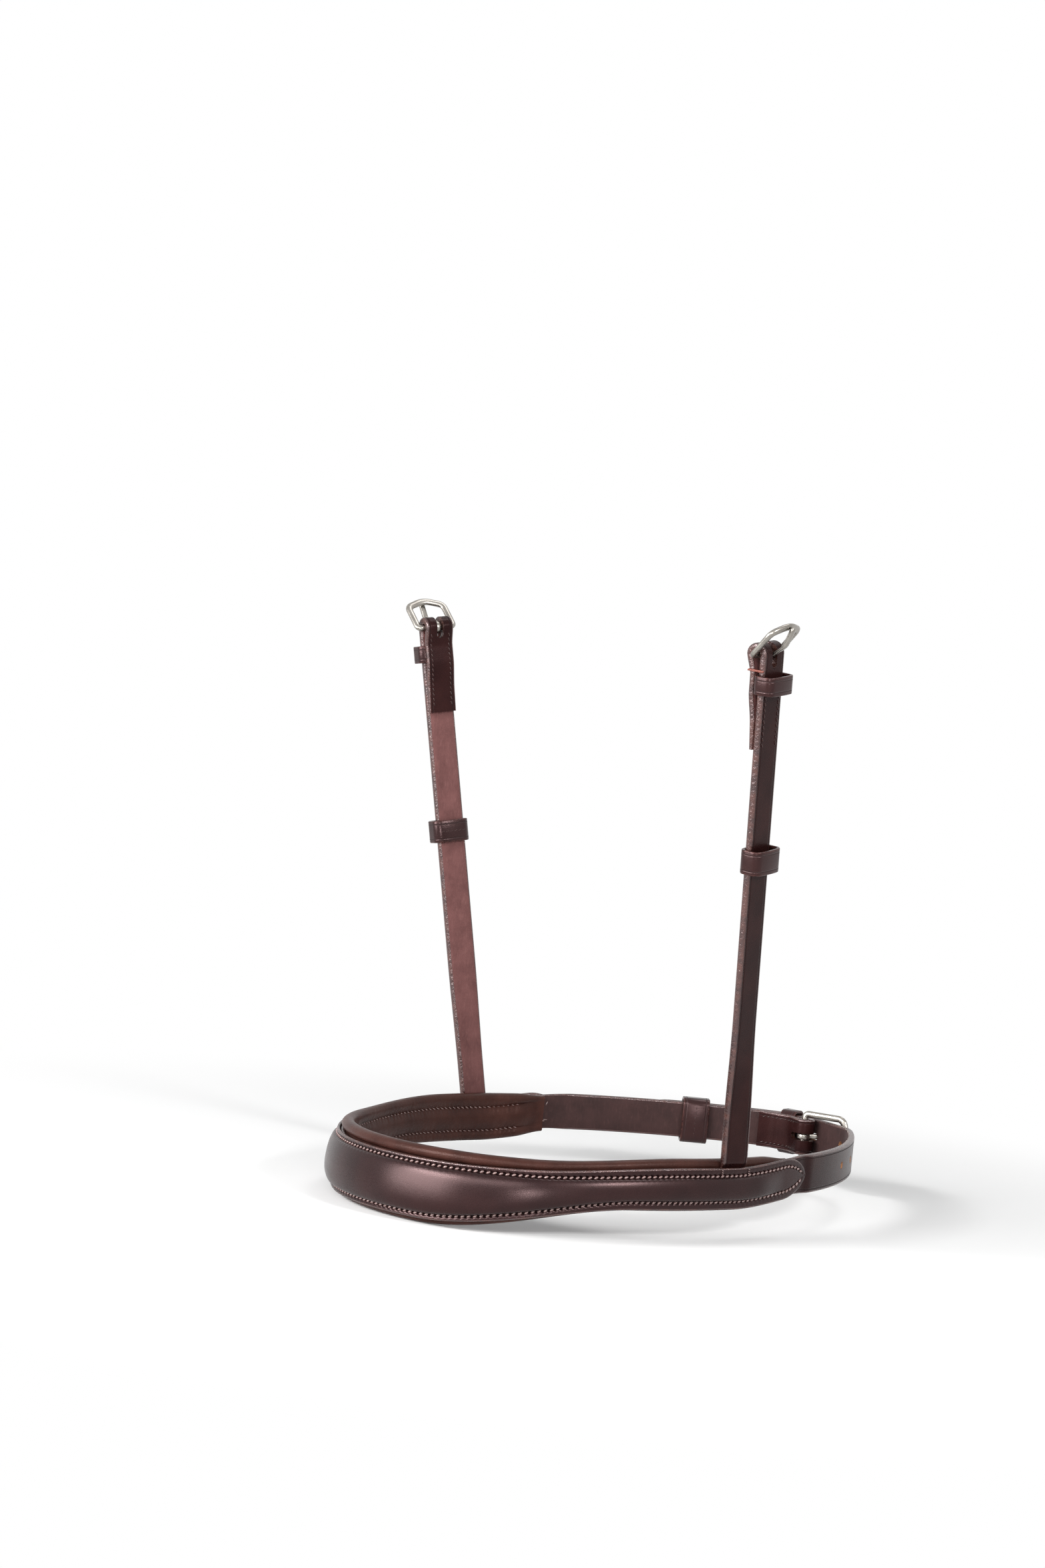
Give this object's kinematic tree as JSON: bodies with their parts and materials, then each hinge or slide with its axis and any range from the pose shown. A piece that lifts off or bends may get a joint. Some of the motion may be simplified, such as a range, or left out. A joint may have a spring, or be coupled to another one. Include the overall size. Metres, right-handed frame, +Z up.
{
  "type": "cavesson noseband",
  "caption": "Raised and padded leather noseband with two buckled cheek straps and a jaw strap that buckles behind the jaw.",
  "frame": {"origin": "middle of the opening for the muzzle, at half the height of the nose piece", "axes": "+Z up along the cheek straps, -Y the front of the nose, +X the horse's near (left) side"},
  "size_m": [0.2334, 0.259, 0.2456],
  "materials": {
    "bridle_leather": "dark brown bridle leather, waxed and glossy on the grain side",
    "lining_leather": "soft matte brown glove leather",
    "leatherboard_filler": "plain compressed filler under the raised face",
    "pad_foam": "soft open foam inside the lining",
    "stainless_steel": "satin stainless steel"
  },
  "bodies": {
    "ring": {"nose_outer_leather": "bridle_leather", "raising_core": "leatherboard_filler", "nose_backing": "bridle_leather", "lining_leather": "lining_leather", "pad_foam": "pad_foam", "near_jaw_billet": "bridle_leather", "far_jaw_strap": "bridle_leather", "jaw_fixed_keeper": "bridle_leather", "near_cheek_tail": "bridle_leather", "far_cheek_tail": "bridle_leather"},
    "jaw_frame": {"jaw_buckle_frame": "stainless_steel"},
    "jaw_tongue": {"jaw_buckle_tongue": "stainless_steel"},
    "jaw_runner": {"jaw_runner_keeper": "bridle_leather"},
    "near_cheek": {"near_cheek_strap": "bridle_leather", "near_fixed_keeper": "bridle_leather"},
    "near_frame": {"near_buckle_frame": "stainless_steel"},
    "near_tongue": {"near_buckle_tongue": "stainless_steel"},
    "near_runner": {"near_runner_keeper": "bridle_leather"},
    "far_cheek": {"far_cheek_strap": "bridle_leather", "far_fixed_keeper": "bridle_leather"},
    "far_frame": {"far_buckle_frame": "stainless_steel"},
    "far_tongue": {"far_buckle_tongue": "stainless_steel"},
    "far_runner": {"far_runner_keeper": "bridle_leather"}
  },
  "joints": [
    {"name": "near_cheek_fold", "type": "hinge", "parent": "ring", "child": "near_cheek", "pos_m": [0.08297, -0.00771, 0.01555], "axis": [0, 1, 0], "range_deg": [-22, 80]},
    {"name": "near_buckle_turn", "type": "hinge", "parent": "near_cheek", "child": "near_frame", "pos_m": [0.10289, -0.03859, 0.21725], "axis": [-0.1732, 0.9708, 0.1658], "range_deg": [-80, 15]},
    {"name": "near_tongue_lift", "type": "hinge", "parent": "near_frame", "child": "near_tongue", "pos_m": [0.10289, -0.03859, 0.21725], "axis": [-0.1732, 0.9708, 0.1658], "range_deg": [0, 35]},
    {"name": "near_keeper_slide", "type": "slide", "parent": "near_cheek", "child": "near_runner", "axis": [0.112, -0.1478, 0.9827], "range_m": [-0.0582, 0.0382]},
    {"name": "far_cheek_fold", "type": "hinge", "parent": "ring", "child": "far_cheek", "pos_m": [-0.08297, -0.00771, 0.01555], "axis": [0, -1, 0], "range_deg": [-22, 80]},
    {"name": "far_buckle_turn", "type": "hinge", "parent": "far_cheek", "child": "far_frame", "pos_m": [-0.10289, -0.03859, 0.21725], "axis": [-0.1732, -0.9708, -0.1658], "range_deg": [-80, 15]},
    {"name": "far_tongue_lift", "type": "hinge", "parent": "far_frame", "child": "far_tongue", "pos_m": [-0.10289, -0.03859, 0.21725], "axis": [-0.1732, -0.9708, -0.1658], "range_deg": [0, 35]},
    {"name": "far_keeper_slide", "type": "slide", "parent": "far_cheek", "child": "far_runner", "axis": [-0.112, -0.1478, 0.9827], "range_m": [-0.0502, 0.0462]},
    {"name": "jaw_buckle_turn", "type": "hinge", "parent": "ring", "child": "jaw_frame", "pos_m": [-0.005, 0.12082, 0.00845], "axis": [0, 0, 1], "range_deg": [-1, 4]},
    {"name": "jaw_tongue_lift", "type": "hinge", "parent": "jaw_frame", "child": "jaw_tongue", "pos_m": [-0.005, 0.12082, 0.00845], "axis": [0, 0, 1], "range_deg": [0, 6]},
    {"name": "jaw_keeper_slide", "type": "hinge", "parent": "ring", "child": "jaw_runner", "pos_m": [0.08353, -0.00771, 0.00845], "axis": [0, 0, 1], "range_deg": [-7, 17]}
  ]
}
